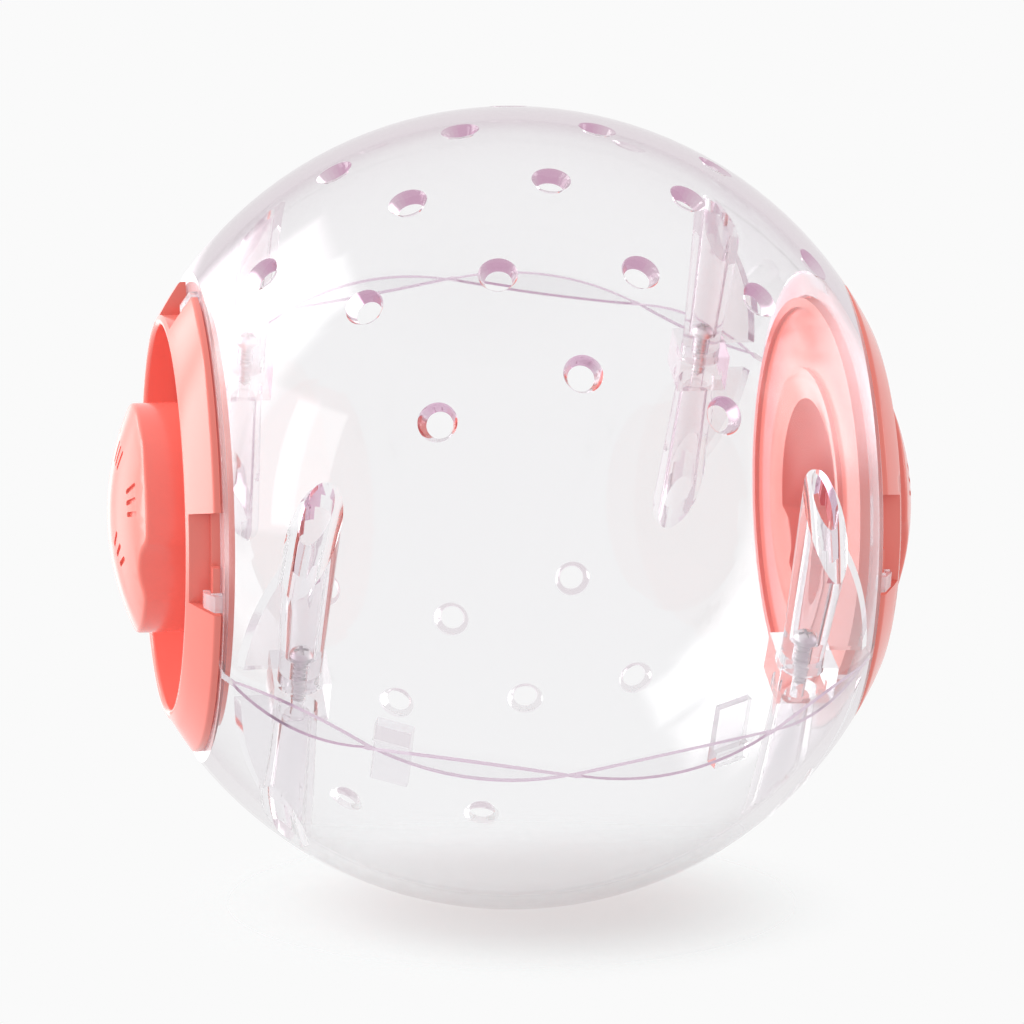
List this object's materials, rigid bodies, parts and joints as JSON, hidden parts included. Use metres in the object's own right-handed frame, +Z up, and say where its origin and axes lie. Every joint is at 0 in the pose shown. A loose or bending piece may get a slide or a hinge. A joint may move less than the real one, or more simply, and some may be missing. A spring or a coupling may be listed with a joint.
{
  "type": "hamster ball",
  "caption": "Clear plastic exercise ball for a hamster: two screwed half shells with air holes and coral twist-off end caps with grip knobs.",
  "frame": {"origin": "centre of the ball", "axes": "+X along the cap axis towards the right cap, -Y towards the viewer of the picture, +Z up. The ball lies as pictured, with the front of its parting seam rolled 30.8 degrees down about X."},
  "size_m": [0.146, 0.145, 0.145],
  "materials": {
    "clear_plastic": "clear moulded plastic with a faint pink-lilac edge tint",
    "coral_plastic": "satin moulded coral plastic",
    "screw_steel": "plain zinc-plated steel"
  },
  "bodies": {
    "shell": {"upper_shell": "clear_plastic", "lower_shell": "clear_plastic", "front_left_screw": "screw_steel", "front_right_screw": "screw_steel", "back_left_screw": "screw_steel", "back_right_screw": "screw_steel"},
    "left_cap_body": {"left_cap": "coral_plastic"},
    "right_cap_body": {"right_cap": "coral_plastic"}
  },
  "joints": [
    {"name": "left_cap_twist", "type": "hinge", "parent": "shell", "child": "left_cap_body", "pos_m": [-0.058, 0, 0], "axis": [1, 0, 0], "range_deg": [0, 16]},
    {"name": "right_cap_twist", "type": "hinge", "parent": "shell", "child": "right_cap_body", "pos_m": [0.058, 0, 0], "axis": [1, 0, 0], "range_deg": [0, 16]}
  ]
}
